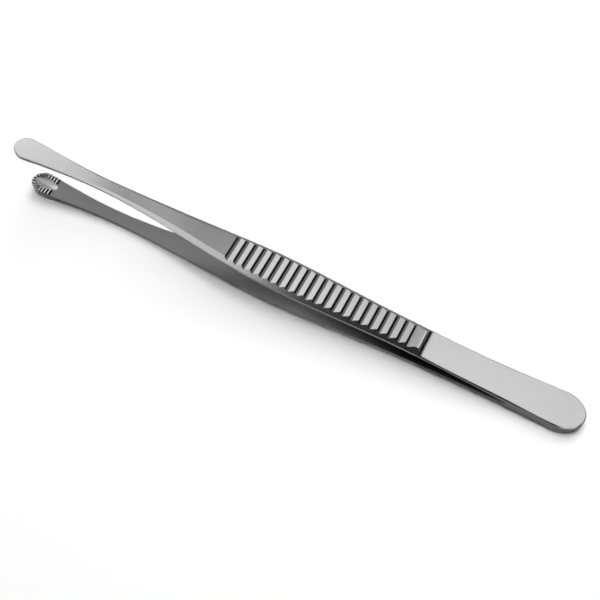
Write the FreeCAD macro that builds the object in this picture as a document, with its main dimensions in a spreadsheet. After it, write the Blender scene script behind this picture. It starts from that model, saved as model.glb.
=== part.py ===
import FreeCAD, Part
import math
import os
import Sketcher

Vector = FreeCAD.Vector
Rotation = FreeCAD.Rotation
Placement = FreeCAD.Placement

# Thumb forceps: two forged arms, welded face to face at the heel and open at the jaws.
# Each arm is drawn in a frame of its own: X runs from the heel end to the tip, Y across,
# and Z outwards, with Z = 0 on the face that is welded to the other arm. The lower arm is
# the same forging turned over, so only the Placement and the phase of its teeth differ.

# Driving sizes in millimetres. "at" is a distance from the heel end, "gap" is the distance
# of an arm's inner face from the middle plane.
sizes = {
    "overall_length": 200.0,
    "heel_width": 11.5,
    "heel_end_length": 7.2,
    "heel_nose_radius": 4.9,
    "heel_thickness": 2.35,
    "heel_bevel": 0.35,
    "weld_length": 22.3,
    "weld_width": 10.4,
    "root_radius": 0.4,
    "spring_at": 37.0,
    "spring_width": 9.7,
    "spring_thickness": 1.27,
    "spring_bevel": 0.25,
    "step_foot_at": 49.6,
    "step_edge_at": 51.6,
    "step_width": 9.5,
    "grip_straight_at": 64.0,
    "grip_middle_at": 76.0,
    "grip_widest_at": 102.0,
    "grip_inner_end_at": 106.2,
    "grip_end_at": 116.7,
    "grip_slope": 0.044,
    "grip_gap": 3.1,
    "grip_thickness": 2.55,
    "grip_middle_width": 10.6,
    "grip_width": 11.9,
    "grip_bevel": 1.65,
    "groove_count": 21,
    "groove_pitch": 3.1,
    "groove_depth": 0.68,
    "groove_wall": 1.2,
    "groove_wall_radius": 1.0,
    "groove_edge_land": 0.1,
    "groove_first": 4.2,
    "shoulder_width": 9.1,
    "shoulder_bevel": 1.5,
    "shank_width": 5.5,
    "shank_bevel": 1.0,
    "neck_from_tip": 30.2,
    "neck_width": 4.5,
    "neck_bevel": 0.6,
    "flare_from_tip": 18.1,
    "flare_width": 5.6,
    "jaw_width": 7.8,
    "jaw_end_length": 4.65,
    "jaw_nose_radius": 3.4,
    "jaw_thickness": 1.55,
    "jaw_bevel": 0.25,
    "jaw_gap": 9.6,
    "rim_height": 0.45,
    "rim_length": 9.0,
    "cup_length": 9.6,
    "cup_width": 3.4,
    "cup_depth": 1.0,
    "cup_wall": 1.7,
    "tooth_pitch": 1.25,
    "tooth_width": 0.75,
    "tooth_depth": 0.55,
    "tooth_angle": 16.36,
}

# Where the curved neck has its shoulder, bend and shank, as shares of the way from grip to neck.
shoulderShare = 0.192
bendShare = 0.22
shankShare = 0.631

# How far a cutter reaches past the metal that it cuts.
overrun = 0.5

doc = FreeCAD.newDocument("ThumbForceps")
sheet = doc.addObject("Spreadsheet::Sheet", "Sizes")
for row, (alias, value) in enumerate(sizes.items(), start=1):
    sheet.set("A%d" % row, alias)
    sheet.set("B%d" % row, repr(value))
    sheet.setAlias("B%d" % row, alias)
doc.recompute()

# Places and heights that follow from the sizes, as expressions on the sheet.
heelCentre = "Sizes.heel_end_length"
jawCentre = "(Sizes.overall_length - Sizes.jaw_end_length)"
neckAt = "(Sizes.overall_length - Sizes.neck_from_tip)"
flareAt = "(Sizes.overall_length - Sizes.flare_from_tip)"
gripInnerEndGap = (
    "(Sizes.grip_gap + Sizes.grip_slope * (Sizes.grip_inner_end_at - Sizes.grip_straight_at))"
)
stepEdgeHeight = (
    "(Sizes.grip_gap + Sizes.grip_thickness"
    " - Sizes.grip_slope * (Sizes.grip_straight_at - Sizes.step_edge_at))"
)
gripEndHeight = "(%s + Sizes.grip_slope * (Sizes.grip_end_at - Sizes.step_edge_at))" % stepEdgeHeight
jawTop = "(Sizes.jaw_gap + Sizes.jaw_thickness)"
rimFace = "(Sizes.jaw_gap - Sizes.rim_height)"

# The inner face opens from the weld's root in an arc that meets the straight grip.
openingStart = "(Sizes.weld_length + Sizes.root_radius)"
openingRun = "(Sizes.grip_straight_at - %s)" % openingStart
openingCurve = (
    "((Sizes.grip_gap - Sizes.grip_slope * %s - Sizes.root_radius) / %s ^ 2)" % (openingRun, openingRun)
)
footRun = "(Sizes.grip_straight_at - Sizes.step_foot_at)"
footHeight = (
    "(Sizes.grip_gap - Sizes.grip_slope * %s - %s * %s ^ 2 + Sizes.spring_thickness)"
    % (footRun, openingCurve, footRun)
)


def alongNeck(share):
    return "(Sizes.grip_end_at * (1 - %r) + %s * %r)" % (share, neckAt, share)


shoulderAt = alongNeck(shoulderShare)
bendAt = alongNeck(bendShare)
shankAt = alongNeck(shankShare)


def steepest(startAt, startHeight, endHeight):
    """Slope at the bend between the grip's end and the level jaw."""
    return "((2 * (%s - %s) - Sizes.grip_slope * (%s - %s)) / (%s - %s))" % (
        endHeight, startHeight, bendAt, startAt, neckAt, startAt)


def bendHeight(startAt, startHeight, endHeight):
    slope = steepest(startAt, startHeight, endHeight)
    return "(%s + (Sizes.grip_slope + %s) / 2 * (%s - %s))" % (startHeight, slope, bendAt, startAt)


def springHeight(at):
    share = "((%s - Sizes.weld_length) / (Sizes.step_foot_at - Sizes.weld_length))" % at
    return "(Sizes.heel_thickness + (%s - Sizes.heel_thickness) * %s ^ 2)" % (footHeight, share)


def gripHeight(at):
    return "(%s + Sizes.grip_slope * (%s - Sizes.step_edge_at))" % (stepEdgeHeight, at)


def risingHeight(at):
    slope = steepest("Sizes.grip_end_at", gripEndHeight, jawTop)
    run = "(%s - Sizes.grip_end_at)" % at
    curve = "(%s - Sizes.grip_slope) / 2 / (%s - Sizes.grip_end_at)" % (slope, bendAt)
    return "(%s + Sizes.grip_slope * %s + %s * %s ^ 2)" % (gripEndHeight, run, curve, run)


def levellingHeight(at):
    slope = steepest("Sizes.grip_end_at", gripEndHeight, jawTop)
    curve = "%s / 2 / (%s - %s)" % (slope, neckAt, bendAt)
    return "(%s - %s * (%s - %s) ^ 2)" % (jawTop, curve, neckAt, at)


def amount(expression):
    """The present value of an expression on the sheet."""
    return float(sheet.evalExpression(expression))


def originPlane(body, role):
    return next(item for item in body.Origin.OriginFeatures if item.Role == role)


def newSketch(body, name, role, offset=("0", "0", "0"), turnAxis=None, turn=None):
    """A sketch on one of the body's own planes, moved and turned by expressions."""
    sketch = body.newObject("Sketcher::SketchObject", name)
    sketch.AttachmentSupport = [(originPlane(body, role), "")]
    sketch.MapMode = "FlatFace"
    if turnAxis is not None:
        sketch.AttachmentOffset = Placement(Vector(), Rotation(turnAxis, amount(turn)))
        sketch.setExpression(".AttachmentOffset.Rotation.Angle", turn)
    for letter, expression in zip("xyz", offset):
        if expression != "0":
            sketch.setExpression(".AttachmentOffset.Base." + letter, expression)
    return sketch


def bind(sketch, kind, references, expression):
    index = sketch.addConstraint(Sketcher.Constraint(kind, *references, amount(expression)))
    sketch.setExpression("Constraints[%d]" % index, expression)


def place(sketch, geometry, position, across, up):
    """Fixes a point at two expressions, measured from the sketch's origin."""
    for kind, expression in (("DistanceX", across), ("DistanceY", up)):
        value = amount(expression)
        if abs(value) < 1e-9:
            axis = -2 if kind == "DistanceX" else -1
            sketch.addConstraint(Sketcher.Constraint("PointOnObject", geometry, position, axis))
        elif value > 0:
            bind(sketch, kind, (-1, 1, geometry, position), expression)
        else:
            bind(sketch, kind, (geometry, position, -1, 1), "-(%s)" % expression)


def addArc(sketch, start, middle, end):
    """An arc through three points, with the numbers that the sketch gives to its two ends.

    A sketch runs every arc anticlockwise, so an arc that turns the other way is entered from its end.
    """
    turn = (middle[0] - start[0]) * (end[1] - start[1]) - (middle[1] - start[1]) * (end[0] - start[0])
    first, last = (start, end) if turn > 0 else (end, start)
    circle = Part.Circle(*(Vector(x, y, 0) for x, y in (first, middle, last)))
    centre = circle.Center
    begin = math.atan2(first[1] - centre.y, first[0] - centre.x)
    finish = math.atan2(last[1] - centre.y, last[0] - centre.x)
    if finish < begin:
        finish += 2 * math.pi
    upright = Part.Circle(centre, Vector(0, 0, 1), circle.Radius)
    index = sketch.addGeometry(Part.ArcOfCircle(upright, begin, finish), False)
    return (index, 1, 2) if turn > 0 else (index, 2, 1)


def addLine(sketch, start, end):
    index = sketch.addGeometry(Part.LineSegment(Vector(*start, 0), Vector(*end, 0)), False)
    return (index, 1, 2)


def arcMiddle(start, slope, end):
    """Middle of the arc that leaves start at a slope and reaches end."""
    chord = (end[0] - start[0], end[1] - start[1])
    turn = math.atan(slope) - math.atan(chord[1] / chord[0])
    bulge = math.tan(turn / 2) / 2
    return ((start[0] + end[0]) / 2 - chord[1] * bulge, (start[1] + end[1]) / 2 + chord[0] * bulge)


def bowedMiddle(start, end, radius):
    """Middle of the short arc from start to end; a positive radius bows to the right of the way."""
    chord = (end[0] - start[0], end[1] - start[1])
    length = math.hypot(*chord)
    rise = math.copysign(abs(radius) - math.sqrt(radius ** 2 - length ** 2 / 4), radius) / length
    return ((start[0] + end[0]) / 2 + chord[1] * rise, (start[1] + end[1]) / 2 - chord[0] * rise)


def addOutline(sketch, corners, curves=None, smooth=()):
    """A closed outline through corners given as expressions.

    curves maps a side's number to the point in the middle of its arc; the other sides are straight.
    smooth lists the sides that run into the next one without a corner.
    """
    curves = curves or {}
    points = [(amount(across), amount(up)) for across, up in corners]
    sides = []
    for number, start in enumerate(points):
        end = points[(number + 1) % len(points)]
        if number in curves:
            sides.append(addArc(sketch, start, curves[number], end))
        else:
            sides.append(addLine(sketch, start, end))
    for number, (index, _, last) in enumerate(sides):
        follower = sides[(number + 1) % len(sides)]
        meeting = "Tangent" if number in smooth else "Coincident"
        sketch.addConstraint(Sketcher.Constraint(meeting, index, last, follower[0], follower[1]))
    return sides


def placeCorners(sketch, sides, corners, loose=()):
    for number, (across, up) in enumerate(corners):
        index, first, _ = sides[number]
        if number in loose:
            bind(sketch, "DistanceX", (-1, 1, index, first), across)
        else:
            place(sketch, index, first, across, up)


def polygon(sketch, corners):
    placeCorners(sketch, addOutline(sketch, corners), corners)


def addSection(body, name, at, width, height, bevel):
    """Cross-section of the forging before its faces are cut: upright sides and two sloping bevels."""
    sketch = newSketch(body, name, "YZ_Plane", ("0", "0", at))
    half = "(%s) / 2" % width
    side = "(%s) - %s" % (height, bevel)
    slant = "(%s + %r)" % (bevel, overrun)
    polygon(sketch, [
        ("-(%s)" % half, "-%r" % overrun),
        (half, "-%r" % overrun),
        (half, side),
        ("%s - %s" % (half, slant), "%s + %s" % (side, slant)),
        ("-(%s - %s)" % (half, slant), "%s + %s" % (side, slant)),
        ("-(%s)" % half, side),
    ])
    return sketch


def addBlank(body):
    """The forging's plan and bevels, lofted from the heel to the jaw."""
    stations = [
        ("Heel", heelCentre, "Sizes.heel_width", "Sizes.heel_thickness", "Sizes.heel_bevel"),
        ("Weld", "Sizes.weld_length", "Sizes.weld_width", "Sizes.heel_thickness", "Sizes.heel_bevel"),
        ("Spring", "Sizes.spring_at", "Sizes.spring_width", springHeight("Sizes.spring_at"),
         "Sizes.spring_bevel"),
        ("Step", "Sizes.step_edge_at", "Sizes.step_width", stepEdgeHeight, "Sizes.grip_bevel"),
        ("GripMiddle", "Sizes.grip_middle_at", "Sizes.grip_middle_width", gripHeight("Sizes.grip_middle_at"),
         "Sizes.grip_bevel"),
        ("GripWidest", "Sizes.grip_widest_at", "Sizes.grip_width", gripHeight("Sizes.grip_widest_at"),
         "Sizes.grip_bevel"),
        ("Shoulder", shoulderAt, "Sizes.shoulder_width", risingHeight(shoulderAt), "Sizes.shoulder_bevel"),
        ("Shank", shankAt, "Sizes.shank_width", levellingHeight(shankAt), "Sizes.shank_bevel"),
        ("Neck", neckAt, "Sizes.neck_width", jawTop, "Sizes.neck_bevel"),
        ("Flare", flareAt, "Sizes.flare_width", jawTop, "Sizes.jaw_bevel"),
        ("Jaw", jawCentre, "Sizes.jaw_width", jawTop, "Sizes.jaw_bevel"),
    ]
    sections = [addSection(body, "Section" + name, *rest) for name, *rest in stations]
    doc.recompute()
    loft = body.newObject("PartDesign::AdditiveLoft", "Blank")
    loft.Profile = sections[0]
    loft.Sections = sections[1:]
    loft.Ruled = False
    loft.Refine = True
    return loft


def addSideCut(body):
    """Trims the blank to the arm's side view: inner face, raised rim, outer face, step and spring."""
    sketch = newSketch(body, "SideView", "XZ_Plane")
    innerBend = bendHeight("Sizes.grip_inner_end_at", gripInnerEndGap, "Sizes.jaw_gap")
    outerBend = bendHeight("Sizes.grip_end_at", gripEndHeight, jawTop)
    heelOpen = "(%s - %r)" % (heelCentre, overrun)
    jawOpen = "(%s + %r)" % (jawCentre, overrun)
    rimStart = "(Sizes.overall_length - Sizes.rim_length)"
    corners = [
        (heelOpen, "0"),
        ("Sizes.weld_length", "0"),
        (openingStart, "Sizes.root_radius"),
        ("Sizes.grip_straight_at", "Sizes.grip_gap"),
        ("Sizes.grip_inner_end_at", gripInnerEndGap),
        (bendAt, innerBend),
        (neckAt, "Sizes.jaw_gap"),
        (rimStart, "Sizes.jaw_gap"),
        (rimStart, rimFace),
        (jawOpen, rimFace),
        (jawOpen, jawTop),
        (neckAt, jawTop),
        (bendAt, outerBend),
        ("Sizes.grip_end_at", gripEndHeight),
        ("Sizes.step_edge_at", stepEdgeHeight),
        ("Sizes.step_foot_at", footHeight),
        ("Sizes.weld_length", "Sizes.heel_thickness"),
        (heelOpen, "Sizes.heel_thickness"),
    ]
    points = [(amount(across), amount(up)) for across, up in corners]
    slope = amount("Sizes.grip_slope")
    footSlope = 2 * (points[15][1] - points[16][1]) / (points[15][0] - points[16][0])
    root = amount("Sizes.root_radius")
    curves = {
        1: (points[1][0] + root * (1 - math.sqrt(0.5)), root * math.sqrt(0.5)),
        2: arcMiddle(points[3], slope, points[2]),
        4: arcMiddle(points[4], slope, points[5]),
        5: arcMiddle(points[6], 0, points[5]),
        11: arcMiddle(points[11], 0, points[12]),
        12: arcMiddle(points[13], slope, points[12]),
        14: arcMiddle(points[15], footSlope, points[14]),
        15: arcMiddle(points[16], 0, points[15]),
    }
    sides = addOutline(sketch, corners, curves, smooth=(2, 3, 4, 5, 10, 11, 12, 14, 15))
    placeCorners(sketch, sides, corners, loose=(5, 12))
    bind(sketch, "Radius", (sides[1][0],), "Sizes.root_radius")
    margin = "(Sizes.heel_width)"
    polygon(sketch, [
        ("%s - 2 * %r" % (heelCentre, overrun), "-%s" % margin),
        ("Sizes.overall_length", "-%s" % margin),
        ("Sizes.overall_length", "%s + %s" % (jawTop, margin)),
        ("%s - 2 * %r" % (heelCentre, overrun), "%s + %s" % (jawTop, margin)),
    ])
    doc.recompute()
    cut = body.newObject("PartDesign::Pocket", "SideCut")
    cut.Profile = sketch
    cut.Midplane = True
    cut.setExpression("Length", "2 * Sizes.grip_width")
    return cut


def addNosePlan(body, name, centre, height, way, halfWidth, length, nose):
    """Plan of a rounded end: two flank arcs that run into a tighter nose arc on the middle line."""
    sketch = newSketch(body, name, "XY_Plane", (centre, "0", height))
    flank = "((%s ^ 2 + %s ^ 2 - 2 * %s * %s) / (2 * (%s - %s)))" % (
        length, halfWidth, length, nose, halfWidth, nose)
    meetAcross = "(%s * (%s - %s) / (%s - %s))" % (flank, length, nose, flank, nose)
    meetUp = "((%s - %s) * %s / (%s - %s))" % (flank, halfWidth, nose, flank, nose)
    across = meetAcross if way > 0 else "-%s" % meetAcross
    corners = [
        ("0", "-%s" % halfWidth),
        (across, "-%s" % meetUp),
        (across, meetUp),
        ("0", halfWidth),
    ]
    radius = amount(flank)
    offset = radius - amount(halfWidth)
    turn = (math.atan2(amount(meetUp) + offset, amount(meetAcross)) + math.pi / 2) / 2
    flankMiddle = (way * radius * math.cos(turn), radius * math.sin(turn) - offset)
    curves = {
        0: (flankMiddle[0], -flankMiddle[1]),
        1: (way * amount(length), 0.0),
        2: flankMiddle,
    }
    sides = addOutline(sketch, corners, curves)
    placeCorners(sketch, sides, corners)
    for number, size in ((0, flank), (1, nose), (2, flank)):
        bind(sketch, "Radius", (sides[number][0],), size)
    return sketch


def addRoundEnd(body, name, centre, way, sizeStem, floor, top):
    """Closes an arm's end: upright below, with the long edges' bevel carried round the nose."""
    halfWidth = "Sizes.%s_width / 2" % sizeStem
    length = "Sizes.%s_end_length" % sizeStem
    nose = "Sizes.%s_nose_radius" % sizeStem
    bevel = "Sizes.%s_bevel" % sizeStem
    levels = [(floor, "0"), ("(%s - %s)" % (top, bevel), "0"), (top, bevel)]
    plans = [
        addNosePlan(body, "%sPlan%d" % (name, number), centre, height, way,
                    *("(%s - %s)" % (size, inset) for size in (halfWidth, length, nose)))
        for number, (height, inset) in enumerate(levels)
    ]
    doc.recompute()
    loft = body.newObject("PartDesign::AdditiveLoft", name)
    loft.Profile = plans[0]
    loft.Sections = plans[1:]
    loft.Ruled = True
    loft.Refine = True
    return loft


def addGripGrooves(body):
    """Grooves across the grip: a hollow wall that faces the heel, and a flat ramp up to the next edge."""
    depth = "Sizes.groove_depth"
    wall = "Sizes.groove_wall"
    sketch = newSketch(body, "GrooveProfile", "XZ_Plane", ("Sizes.step_edge_at", stepEdgeHeight, "0"),
                       Vector(0, 0, 1), "atan(Sizes.grip_slope)")
    start = "Sizes.groove_first"
    backEnd = "(%s - Sizes.groove_pitch + Sizes.groove_edge_land)" % start
    corners = [
        (start, "0"),
        ("%s - %s" % (start, wall), "-%s" % depth),
        (backEnd, "0"),
        (backEnd, "%r" % overrun),
        (start, "%r" % overrun),
    ]
    points = [(amount(across), amount(up)) for across, up in corners]
    wallMiddle = bowedMiddle(points[0], points[1], -amount("Sizes.groove_wall_radius"))
    sides = addOutline(sketch, corners, {0: wallMiddle})
    placeCorners(sketch, sides, corners)
    bind(sketch, "Radius", (sides[0][0],), "Sizes.groove_wall_radius")
    doc.recompute()
    groove = body.newObject("PartDesign::Pocket", "Groove")
    groove.Profile = sketch
    groove.Midplane = True
    groove.setExpression("Length", "2 * Sizes.grip_width")
    return repeatAlong(body, "Grooves", groove, sketch, "Sizes.groove_pitch", "Sizes.groove_count")


def repeatAlong(body, name, feature, sketch, pitch, count):
    """Repeats a feature along its sketch's own horizontal axis."""
    body.Tip = feature
    doc.recompute()
    pattern = body.newObject("PartDesign::LinearPattern", name)
    pattern.Originals = [feature]
    pattern.Direction = (sketch, ["H_Axis"])
    pattern.setExpression("Length", "%s * (%s - 1)" % (pitch, count))
    pattern.setExpression("Occurrences", count)
    body.Tip = pattern
    return pattern


def addCup(body):
    """The jaw's hollow: a slice of a circle turned about an axis that runs along the arm."""
    crossRadius = "((Sizes.cup_width ^ 2 / 4 + Sizes.cup_depth ^ 2) / (2 * Sizes.cup_depth))"
    longRadius = "((Sizes.cup_length ^ 2 / 4 + Sizes.cup_depth ^ 2) / (2 * Sizes.cup_depth))"
    cupMiddle = "(Sizes.overall_length - Sizes.cup_wall - Sizes.cup_length / 2)"
    axisHeight = "(%s - %s + Sizes.cup_depth)" % (rimFace, crossRadius)
    sketch = newSketch(body, "CupProfile", "XZ_Plane", (cupMiddle, axisHeight, "0"))
    halfChord = "sqrt(%s ^ 2 - (%s - %s) ^ 2)" % (longRadius, longRadius, crossRadius)
    corners = [("-%s" % halfChord, "0"), (halfChord, "0")]
    sides = addOutline(sketch, corners, {1: (0.0, amount(crossRadius))})
    placeCorners(sketch, sides, corners)
    bind(sketch, "Radius", (sides[1][0],), longRadius)
    doc.recompute()
    cup = body.newObject("PartDesign::Groove", "Cup")
    cup.Profile = sketch
    cup.ReferenceAxis = (sketch, ["H_Axis"])
    cup.Angle = 360
    body.Tip = cup
    return cup


def toothNotch(sketch):
    """A V that cuts into the rim's face, which is at the sketch's origin."""
    clear = "(Sizes.tooth_depth / 2)"
    half = "(Sizes.tooth_width / 2 * (Sizes.tooth_depth + %s) / Sizes.tooth_depth)" % clear
    polygon(sketch, [
        ("-%s" % half, "-%s" % clear),
        (half, "-%s" % clear),
        ("0", "Sizes.tooth_depth"),
    ])


def addTeeth(body, name, sideCount, sideFirst, endCount):
    """Notches across both sides of the rim, and a fan of notches round its end."""
    firstAt = "(%s - %s * Sizes.tooth_pitch)" % (jawCentre, sideFirst + sideCount - 1)
    across = newSketch(body, name + "SideNotch", "XZ_Plane", (firstAt, rimFace, "0"))
    toothNotch(across)
    doc.recompute()
    notch = body.newObject("PartDesign::Pocket", name + "Side")
    notch.Profile = across
    notch.Midplane = True
    notch.setExpression("Length", "2 * Sizes.jaw_width")
    repeatAlong(body, name + "Sides", notch, across, "Sizes.tooth_pitch", "%d" % sideCount)
    doc.recompute()
    turn = "-Sizes.tooth_angle * %r" % ((endCount - 1) / 2)
    fan = newSketch(body, name + "EndNotch", "YZ_Plane", ("0", rimFace, jawCentre), Vector(0, 1, 0), turn)
    toothNotch(fan)
    doc.recompute()
    radial = body.newObject("PartDesign::Pocket", name + "End")
    radial.Profile = fan
    radial.Reversed = True
    radial.setExpression("Length", "Sizes.jaw_width")
    body.Tip = radial
    doc.recompute()
    turned = body.newObject("PartDesign::PolarPattern", name + "Fan")
    turned.Originals = [radial]
    turned.Axis = (fan, ["V_Axis"])
    turned.setExpression("Angle", "Sizes.tooth_angle * %d" % (endCount - 1))
    turned.Occurrences = endCount
    body.Tip = turned
    return turned


# The teeth of one jaw meet the notches of the other. Side notches start at a phase of the pitch
# behind the jaw's centre, and the end notches fan out in front of it.
notchPhase = {"upper_arm": 1.0, "lower_arm": 0.5}
sideNotchCount = {"upper_arm": 3, "lower_arm": 4}
endNotchCount = {"upper_arm": 12, "lower_arm": 11}
turnedOver = {
    "upper_arm": Rotation(Vector(0, 0, 1), 180),
    "lower_arm": Rotation(Vector(0, 1, 0), 180),
}

arms = {}
for armName, armTurn in turnedOver.items():
    body = doc.addObject("PartDesign::Body", armName)
    body.Label = armName
    addBlank(body)
    addSideCut(body)
    addRoundEnd(body, "HeelEnd", heelCentre, -1, "heel", "0", "Sizes.heel_thickness")
    addRoundEnd(body, "JawEnd", jawCentre, 1, "jaw", rimFace, jawTop)
    addGripGrooves(body)
    addCup(body)
    addTeeth(body, "Tooth", sideNotchCount[armName], notchPhase[armName], endNotchCount[armName])
    arms[armName] = body

# The instrument lies on the outer face of its lower arm. It touches the ground behind and in
# front of its centre of mass: at the heel's end or the grip's step, and where the neck levels.
massAt = arms["lower_arm"].Shape.Solids[0].CenterOfMass.x
outerFace = [
    (amount("Sizes.heel_bevel"), amount("Sizes.heel_thickness")),
    (amount("Sizes.step_edge_at"), amount(stepEdgeHeight)),
]
levelSteps = 100
for step in range(levelSteps + 1):
    at = amount("%s + (%s - %s) * %r" % (bendAt, neckAt, bendAt, step / levelSteps))
    outerFace.append((at, amount(levellingHeight(repr(at)))))


def tangentHeight(slope):
    """Height beside the centre of mass of the line that touches the outer face at this slope."""
    return max(height - slope * (at - massAt) for at, height in outerFace)


behind = [point for point in outerFace if point[0] < massAt]
ahead = [point for point in outerFace if point[0] > massAt]
slopes = [(front[1] - back[1]) / (front[0] - back[0]) for back in behind for front in ahead]
restSlope = min(slopes, key=tangentHeight)
restTurn = Placement(Vector(), Rotation(Vector(0, 1, 0), math.degrees(math.atan(restSlope))))
for armName, armTurn in turnedOver.items():
    arms[armName].Placement = restTurn.multiply(Placement(Vector(), armTurn))
doc.recompute()
box = FreeCAD.BoundBox()
for body in arms.values():
    box.add(body.Shape.optimalBoundingBox(False, False))
toGround = Placement(Vector(-box.Center.x, -box.Center.y, -box.ZMin), Rotation())
for body in arms.values():
    body.Placement = toGround.multiply(body.Placement)
doc.recompute()

for item in doc.Objects:
    faults = [state for state in item.State if state in ("Invalid", "Error")]
    if faults:
        raise RuntimeError("%s failed: %s" % (item.Name, faults))
for armName, body in arms.items():
    if body.Shape.isNull() or not body.Shape.isValid() or len(body.Shape.Solids) != 1:
        raise RuntimeError("%s is not one valid solid" % armName)

os.makedirs("parts", exist_ok=True)
for armName, body in arms.items():
    body.Shape.exportStep("parts/%s.step" % armName)
    extent = body.Shape.optimalBoundingBox(False, False)
    print(armName, "volume", round(body.Shape.Volume, 1), "mm3, from",
          [round(value, 2) for value in (extent.XMin, extent.YMin, extent.ZMin)], "to",
          [round(value, 2) for value in (extent.XMax, extent.YMax, extent.ZMax)])
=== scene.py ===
import math

import bmesh
import bpy
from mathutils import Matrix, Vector

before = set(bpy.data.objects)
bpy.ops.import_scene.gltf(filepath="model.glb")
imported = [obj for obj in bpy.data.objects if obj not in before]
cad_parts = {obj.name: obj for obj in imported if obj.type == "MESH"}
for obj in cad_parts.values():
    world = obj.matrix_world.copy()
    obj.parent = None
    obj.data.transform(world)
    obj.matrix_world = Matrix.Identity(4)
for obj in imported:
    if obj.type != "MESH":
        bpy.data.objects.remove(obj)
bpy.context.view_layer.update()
print("forceps loaded:", ", ".join(sorted(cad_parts)))


# small helpers for node trees
def newMaterial(name):
    material = bpy.data.materials.new(name)
    material.use_nodes = True
    tree = material.node_tree
    tree.nodes.clear()
    return material, tree


def addNode(tree, kind, **settings):
    node = tree.nodes.new(kind)
    for key, value in settings.items():
        setattr(node, key, value)
    return node


def link(tree, source, output, target, socket):
    tree.links.new(source.outputs[output], target.inputs[socket])


# a math node fed by numbers or by other nodes
def calculate(tree, operation, *values):
    node = addNode(tree, "ShaderNodeMath", operation=operation)
    for number, value in enumerate(values):
        if isinstance(value, (int, float)):
            node.inputs[number].default_value = value
        else:
            tree.links.new(value, node.inputs[number])
    return node.outputs[0]


def allOf(tree, *factors):
    result = factors[0]
    for factor in factors[1:]:
        result = calculate(tree, "MULTIPLY", result, factor)
    return result


def opposite(tree, factor):
    return calculate(tree, "SUBTRACT", 1, factor)


def between(tree, value, limits):
    above = calculate(tree, "GREATER_THAN", value, limits[0])
    return allOf(tree, above, calculate(tree, "LESS_THAN", value, limits[1]))


def ramp(tree, value, starts, ends):
    node = addNode(tree, "ShaderNodeMapRange")
    for name, number in zip(("From Min", "From Max", "To Min", "To Max"), starts + ends):
        node.inputs[name].default_value = number
    tree.links.new(value, node.inputs["Value"])
    return node.outputs["Result"]


def grey(share):
    return (share, share, share, 1)


# a mix of two tones; each is a plain grey or a socket
def blend(tree, factor, first, second):
    node = addNode(tree, "ShaderNodeMix", data_type="RGBA")
    tree.links.new(factor, node.inputs[0])
    firstColour, secondColour, mixedColour = node.inputs[6], node.inputs[7], node.outputs[2]
    for socket, tone in ((firstColour, first), (secondColour, second)):
        if isinstance(tone, (int, float)):
            socket.default_value = grey(tone)
        else:
            tree.links.new(tone, socket)
    return mixedColour


def stretchedNoise(tree, coordinates, stretch, scale, detail):
    mapping = addNode(tree, "ShaderNodeMapping")
    mapping.inputs["Scale"].default_value = stretch
    link(tree, coordinates, "Object", mapping, "Vector")
    noise = addNode(tree, "ShaderNodeTexNoise")
    noise.inputs["Scale"].default_value = scale
    noise.inputs["Detail"].default_value = detail
    link(tree, mapping, "Vector", noise, "Vector")
    return noise


# the faces between the arms are duller, and their colour is painted shade and light: painted darker
# towards the weld, and painted lighter in the middle of the length
innerValues = {
    "facing": (0.25, 0.6),  # how far a face looks inwards, from none of this finish and painted shade to all of it
    "roughness": 0.45,
    "span": (-0.1, 0.1),  # along X, for the stops below
    # painted shade and painted light, as tones along the span
    "stops": ((0.0, 0.31), (0.36, 0.32), (0.46, 0.44), (0.54, 0.58), (0.64, 0.28), (0.72, 0.04)),
}


# the painted shade and light of the faces between the arms, as a tone along X
def innerPaintedShading(tree, place):
    tones = addNode(tree, "ShaderNodeValToRGB")
    stops = tones.color_ramp.elements
    while len(stops) < len(innerValues["stops"]):
        stops.new(0.5)
    for stop, (position, tone) in zip(stops, innerValues["stops"]):
        stop.position = position
        stop.color = grey(tone)
    tree.links.new(ramp(tree, place.outputs["X"], innerValues["span"], (0, 1)), tones.inputs["Fac"])
    return tones.outputs["Color"]


# the jaw's cup and teeth are matt; the cup is painted pale and the teeth bright, painted
# highlights, and the notches between the teeth are painted near black, painted shade
jawValues = {
    # painted highlight: the cup is painted paler than the steel
    "cupPaintedHighlight": 0.85,
    "cupRoughness": 0.6,
    "cupOval": (-0.0945, 0.0046, 0.0019),  # middle along X, reach along X, reach along Y
    "rootOval": (-0.0956, 0.0025, 0.0023),  # inside it the fan's notches run together
    # painted shade: the notches are painted near black
    "notchPaintedShade": 0.005,
    "notchFacing": 0.96,  # a notch's walls look less inwards than this
    "notchDepth": 0.00003,  # below the rim
    "rimSlope": -0.05533,
    # painted highlight: the teeth between the notches are painted white
    "toothPaintedHighlight": 1.0,
    "fanMiddle": -0.0951,
    "fanPitch": math.radians(16.36),
    "fanNotchShare": 0.36,  # of the pitch, to each side of a notch's middle
}


# below 1 inside an oval in plan, on the arm's middle line
def ovalShare(tree, place, middle, reachX, reachY):
    offset = calculate(tree, "SUBTRACT", place.outputs["X"], middle)
    along = calculate(tree, "DIVIDE", offset, reachX)
    across = calculate(tree, "DIVIDE", place.outputs["Y"], reachY)
    return calculate(tree, "ADD", allOf(tree, along, along), allOf(tree, across, across))


# 1 on the ridges between the fan's notches
def fanRidge(tree, place, phase):
    ahead = calculate(tree, "SUBTRACT", jawValues["fanMiddle"], place.outputs["X"])
    turn = calculate(tree, "ARCTAN2", place.outputs["Y"], ahead)
    count = calculate(tree, "MULTIPLY_ADD", turn, 1 / jawValues["fanPitch"], phase + 0.5)
    offset = calculate(tree, "SUBTRACT", calculate(tree, "FRACT", count), 0.5)
    away = calculate(tree, "ABSOLUTE", offset)
    beyondNotch = calculate(tree, "GREATER_THAN", away, jawValues["fanNotchShare"])
    return allOf(tree, beyondNotch, calculate(tree, "GREATER_THAN", ahead, 0))


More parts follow.
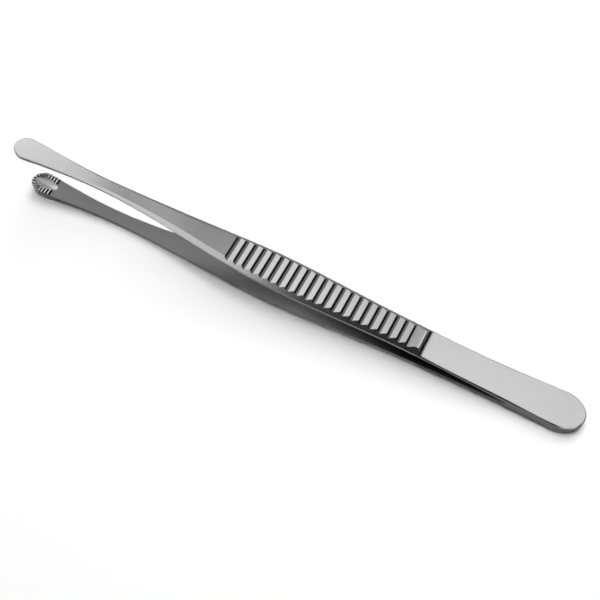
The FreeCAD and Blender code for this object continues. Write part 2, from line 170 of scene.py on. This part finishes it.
def jawFactors(tree, place, inwardness, arm):
    inJaw = calculate(tree, "LESS_THAN", place.outputs["X"], arm["jawStart"])
    inwards = calculate(tree, "GREATER_THAN", inwardness, innerValues["facing"][0])
    cupShare = ovalShare(tree, place, *jawValues["cupOval"])
    rootShare = ovalShare(tree, place, *jawValues["rootOval"])
    outside = calculate(tree, "GREATER_THAN", calculate(tree, "MINIMUM", cupShare, rootShare), 1)
    cup = allOf(tree, inwards, calculate(tree, "LESS_THAN", cupShare, 1))
    tooth = allOf(tree, fanRidge(tree, place, arm["fanPhase"]), inwards, outside)

    slope = calculate(tree, "MULTIPLY", place.outputs["X"], jawValues["rimSlope"])
    rim = calculate(tree, "ADD", slope, arm["rimHeight"])
    drop = calculate(tree, "SUBTRACT", rim, place.outputs["Z"])
    depth = calculate(tree, "MULTIPLY", drop, arm["inward"])
    deep = calculate(tree, "GREATER_THAN", depth, jawValues["notchDepth"])
    steep = calculate(tree, "LESS_THAN", inwardness, jawValues["notchFacing"])
    # the notches get painted shade in the recesses
    notch = allOf(tree, steep, inwards, outside, inJaw, deep, opposite(tree, tooth))
    return inJaw, cup, tooth, notch


# the grip's tones are painted shade and light: painted shade in the hollows, a lighter painted
# shade on the ramps, painted shade on the plain land after the last, and a painted reflection on
# the bright side edge
gripValues = {
    "span": (-0.01705, 0.04495),
    "flatness": 0.35,  # its top looks sideways less than this
    # painted shade in the hollows, and on the ramps a painted shade that lightens along X
    "hollowPaintedShade": 0.18,
    "rampPaintedTones": (0.36, 0.53),  # from the shank's end to the spring's
    "landSpan": (0.04495, 0.0484),
    # painted shade on the plain land after the last groove
    "landPaintedShade": 0.43,
    "sideSpan": (-0.012, 0.0484),
    "sideFacing": 0.9,
    # painted reflection: the upright side edge is painted bright
    "sidePaintedReflection": 0.95,
}


def gripFactors(tree, place, facing, inwardness, arm):
    sideways = calculate(tree, "ABSOLUTE", facing.outputs["Y"])
    outwards = calculate(tree, "LESS_THAN", inwardness, 0)
    top = allOf(tree, outwards, calculate(tree, "LESS_THAN", sideways, gripValues["flatness"]))
    grooved = allOf(tree, top, between(tree, place.outputs["X"], gripValues["span"]))
    onRamp = calculate(tree, "LESS_THAN", facing.outputs["X"], arm["rampTilt"])
    groove = allOf(tree, grooved, onRamp)
    hollow = allOf(tree, grooved, opposite(tree, onRamp))
    land = allOf(tree, top, between(tree, place.outputs["X"], gripValues["landSpan"]))
    upright = calculate(tree, "GREATER_THAN", sideways, gripValues["sideFacing"])
    side = allOf(tree, upright, between(tree, place.outputs["X"], gripValues["sideSpan"]))
    return groove, hollow, land, side


# satin steel, ground along the arm, so its fine lines run along X
steelValues = {
    "tones": (0.60, 0.64),
    "roughness": (0.23, 0.27),
    "cloud": {"stretch": (25, 60, 60), "scale": 1, "detail": 2},
    "grain": {"stretch": (40, 900, 900), "scale": 8, "detail": 3},
    "grainSpan": (0.3, 0.7),
    "bumpStrength": 0.015,
    "bumpDistance": 0.0001,
}

# inward is the way along Z in which the arm's inner face looks. A face that leans more than
# rampTilt to -X is a groove's ramp. rimHeight is where the toothed rim's plane cuts X = 0.
armValues = {
    "upper_arm": {
        "steel": "upperSteel",
        "inward": -1,
        "rampTilt": -0.20,
        "jawStart": -0.0902,
        "rimHeight": 0.017031,
        "fanPhase": 0.5,
    },
    "lower_arm": {
        "steel": "lowerSteel",
        "inward": 1,
        "rampTilt": -0.31,
        "jawStart": -0.0911,
        "rimHeight": -0.001297,
        "fanPhase": 0.0,
    },
}


def makeSteel(arm):
    material, tree = newMaterial(arm["steel"])
    coordinates = addNode(tree, "ShaderNodeTexCoord")
    grain = stretchedNoise(tree, coordinates, **steelValues["grain"])
    cloud = stretchedNoise(tree, coordinates, **steelValues["cloud"])
    place = addNode(tree, "ShaderNodeSeparateXYZ")
    link(tree, coordinates, "Object", place, "Vector")
    facing = addNode(tree, "ShaderNodeSeparateXYZ")
    link(tree, coordinates, "Normal", facing, "Vector")
    inwardness = calculate(tree, "MULTIPLY", facing.outputs["Z"], arm["inward"])

    inJaw, cup, tooth, notch = jawFactors(tree, place, inwardness, arm)
    groove, hollow, land, side = gripFactors(tree, place, facing, inwardness, arm)
    inner = ramp(tree, inwardness, innerValues["facing"], (0, 1))
    # the faces between the arms outside the jaw get the duller roughness and the painted shade
    dullAndShaded = allOf(tree, inner, opposite(tree, calculate(tree, "MAXIMUM", inJaw, cup)))
    matt = calculate(tree, "MAXIMUM", cup, tooth)

    tone = blend(tree, cloud.outputs["Fac"], *steelValues["tones"])
    # painted light and shade over the steel: the faces between the arms, the cup, the teeth, the
    # notches, and the grip's ramps, hollows, land and side edge
    for factor, paint in (
        (dullAndShaded, innerPaintedShading(tree, place)),
        (cup, jawValues["cupPaintedHighlight"]),
        (tooth, jawValues["toothPaintedHighlight"]),
        (notch, jawValues["notchPaintedShade"]),
        (groove, ramp(tree, place.outputs["X"], gripValues["span"], gripValues["rampPaintedTones"])),
        (hollow, gripValues["hollowPaintedShade"]),
        (land, gripValues["landPaintedShade"]),
        (side, gripValues["sidePaintedReflection"]),
    ):
        tone = blend(tree, factor, tone, paint)
    rough = ramp(tree, grain.outputs["Fac"], steelValues["grainSpan"], steelValues["roughness"])
    for factor, goal in ((dullAndShaded, innerValues["roughness"]), (matt, jawValues["cupRoughness"])):
        change = allOf(tree, factor, calculate(tree, "SUBTRACT", goal, rough))
        rough = calculate(tree, "ADD", rough, change)

    bump = addNode(tree, "ShaderNodeBump")
    bump.inputs["Strength"].default_value = steelValues["bumpStrength"]
    bump.inputs["Distance"].default_value = steelValues["bumpDistance"]
    link(tree, grain, "Fac", bump, "Height")
    shader = addNode(tree, "ShaderNodeBsdfPrincipled")
    shader.inputs["Metallic"].default_value = 1
    tree.links.new(tone, shader.inputs["Base Color"])
    tree.links.new(rough, shader.inputs["Roughness"])
    link(tree, bump, "Normal", shader, "Normal")
    output = addNode(tree, "ShaderNodeOutputMaterial")
    link(tree, shader, "BSDF", output, "Surface")
    return material


for name, arm in armValues.items():
    steel = makeSteel(arm)
    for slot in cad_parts[name].material_slots:
        slot.material = steel
print("steel assigned")

# the floor looks brighter to the camera than the paper that the steel mirrors
floorValues = {"size": 4.0, "tone": 0.85, "brightness": 4.0}


def makeFloor():
    mesh = bpy.data.meshes.new("floor")
    form = bmesh.new()
    bmesh.ops.create_grid(form, x_segments=1, y_segments=1, size=floorValues["size"] / 2)
    form.to_mesh(mesh)
    form.free()
    floor = bpy.data.objects.new("floor", mesh)
    bpy.context.collection.objects.link(floor)

    material, tree = newMaterial("studioPaper")
    mix = addNode(tree, "ShaderNodeMixShader")
    link(tree, addNode(tree, "ShaderNodeLightPath"), "Is Camera Ray", mix, "Fac")
    for socket, gain in ((1, 1), (2, floorValues["brightness"])):
        paper = addNode(tree, "ShaderNodeBsdfDiffuse")
        paper.inputs["Color"].default_value = grey(floorValues["tone"] * gain)
        link(tree, paper, "BSDF", mix, socket)
    output = addNode(tree, "ShaderNodeOutputMaterial")
    link(tree, mix, "Shader", output, "Surface")
    mesh.materials.append(material)


makeFloor()
print("floor laid")

# studio light: each panel is given by the way it lies from the forceps
panelValues = {"distance": 0.9}

# soft boxes that the steel mirrors
softBoxes = {
    "leftFar": {"way": (-0.80, 0.35, 0.49), "size": (0.22, 0.50), "radiance": 0.95},
    "left": {"way": (-0.65, 0.385, 0.655), "size": (0.18, 0.50), "radiance": 1.25},
    "leftMiddle": {"way": (-0.46, 0.41, 0.79), "size": (0.16, 0.50), "radiance": 0.25},
    "overLeft": {"way": (-0.28, 0.41, 0.87), "size": (0.14, 0.50), "radiance": 0.62},
    "over": {"way": (0.02, 0.41, 0.91), "size": (0.12, 0.50), "radiance": 1.05},
    "overRight": {"way": (0.15, 0.41, 0.90), "size": (0.12, 0.50), "radiance": 0.97},
    "right": {"way": (0.28, 0.41, 0.87), "size": (0.14, 0.50), "radiance": 0.69},
    "farRight": {"way": (0.45, 0.41, 0.79), "size": (0.18, 0.50), "radiance": 0.89},
    "nearLeft": {"way": (-0.66, -0.62, 0.42), "size": (0.30, 0.30), "radiance": 1.29},
    "nearMiddle": {"way": (-0.40, -0.80, 0.45), "size": (0.25, 0.30), "radiance": 1.08},
    "lowLeft": {"way": (-0.92, 0.10, 0.36), "size": (0.50, 0.30), "radiance": 3.5},
    "top": {"way": (-0.05, -0.25, 0.97), "size": (0.50, 0.35), "radiance": 3.0},
    "nearRight": {"way": (-0.25, -0.86, 0.45), "size": (0.12, 0.30), "radiance": 0.5},
    "besideRight": {"way": (0.74, -0.60, 0.32), "size": (0.80, 0.45), "radiance": 0.8},
    "filler": {"way": (0.0, 0.08, 0.99), "size": (0.60, 0.20), "radiance": 0.35},
}

# panels that light the floor, and that the steel doesn't mirror
floorPanels = {
    "overhead": {"way": (0.0, 0.20, 0.98), "size": (0.80, 0.70), "radiance": 1.08},
    "behind": {"way": (0.0, 0.72, 0.69), "size": (0.70, 0.40), "radiance": 1.08},
    "zenith": {"way": (0.0, 0.0, 1.0), "size": (0.40, 0.40), "radiance": 1.0},
}

# the backdrop past the floor's edge fades with height, and only the camera sees it
backdropValues = {"band": (0.15, 0.42), "strengths": (0.50, 0.05)}


def addPanel(name, values):
    data = bpy.data.lights.new(name, "AREA")
    data.shape = "RECTANGLE"
    data.size, data.size_y = values["size"]
    data.energy = values["radiance"] * math.pi * data.size * data.size_y
    way = Vector(values["way"]).normalized()
    lamp = bpy.data.objects.new(name, data)
    lamp.location = way * panelValues["distance"]
    lamp.rotation_euler = (-way).to_track_quat("-Z", "Y").to_euler()
    bpy.context.collection.objects.link(lamp)
    return lamp


def makeBackdrop():
    world = bpy.data.worlds.new("studio")
    bpy.context.scene.world = world
    world.use_nodes = True
    tree = world.node_tree
    background = tree.nodes["Background"]
    background.inputs["Color"].default_value = grey(1)
    height = addNode(tree, "ShaderNodeSeparateXYZ")
    link(tree, addNode(tree, "ShaderNodeTexCoord"), "Generated", height, "Vector")
    strength = ramp(tree, height.outputs["Z"], backdropValues["band"], backdropValues["strengths"])
    tree.links.new(strength, background.inputs["Strength"])
    world.cycles_visibility.diffuse = False
    world.cycles_visibility.glossy = False


for name, values in softBoxes.items():
    addPanel(name, values).visible_diffuse = False
for name, values in floorPanels.items():
    addPanel(name, values).visible_glossy = False
makeBackdrop()
print("lights placed")

# camera at the photograph's angle
cameraValues = {
    "place": (0.08675, -0.10844, 0.25384),
    "turnDegrees": (27.718, 4.399, 28.321),
    "lens": 53.607,
    "sensorWidth": 36,
    "clip": (0.01, 20),
}


def makeCamera():
    data = bpy.data.cameras.new("camera")
    data.sensor_width = cameraValues["sensorWidth"]
    data.lens = cameraValues["lens"]
    data.clip_start, data.clip_end = cameraValues["clip"]
    camera = bpy.data.objects.new("camera", data)
    camera.location = cameraValues["place"]
    camera.rotation_euler = [math.radians(turn) for turn in cameraValues["turnDegrees"]]
    bpy.context.collection.objects.link(camera)
    bpy.context.scene.camera = camera


makeCamera()
bpy.context.scene.view_settings.view_transform = "Standard"
print("camera placed")
